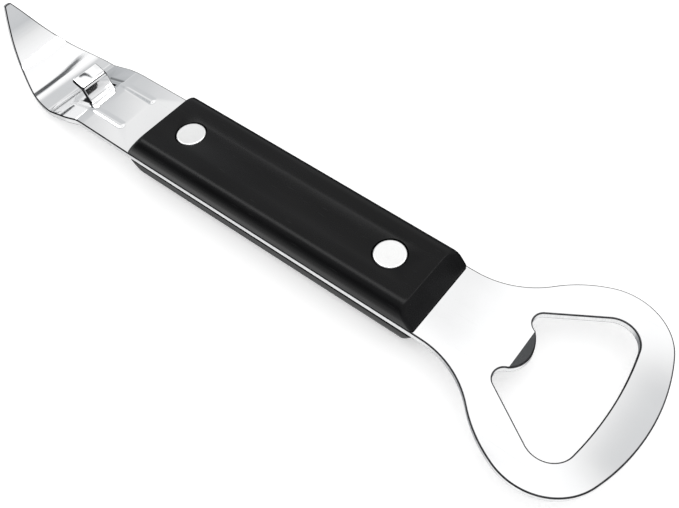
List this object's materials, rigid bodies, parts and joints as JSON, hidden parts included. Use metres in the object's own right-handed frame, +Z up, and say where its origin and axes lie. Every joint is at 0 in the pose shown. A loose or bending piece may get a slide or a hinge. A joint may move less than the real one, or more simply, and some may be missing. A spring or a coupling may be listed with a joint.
{
  "type": "manual can opener",
  "caption": "Can piercer and bottle opener: a riveted full-tang steel plate with a pointed, rim-catching piercer, a crown cap loop with a bent lip, and moulded handle scales.",
  "frame": {"origin": "centre of the back scale's flat underside, midway between the two rivets, where the opener lies on a table", "axes": "+X along the handle from the piercer towards the crown cap loop; +Z up, out of the front scale, the way the piercing point and the rim catch stand up"},
  "size_m": [0.1795, 0.0454, 0.021],
  "materials": {
    "plate_steel": "polished stainless sheet with a faint lengthwise grain",
    "scale_plastic": "satin black moulded plastic",
    "rivet_steel": "satin turned steel, flush with the scales"
  },
  "bodies": {
    "root": {"steel_plate": "plate_steel", "front_scale": "scale_plastic", "back_scale": "scale_plastic", "rivet_pin_piercer_end": "rivet_steel", "rivet_pin_loop_end": "rivet_steel", "rivet_sleeve_piercer_end": "rivet_steel", "rivet_sleeve_loop_end": "rivet_steel"}
  },
  "joints": []
}
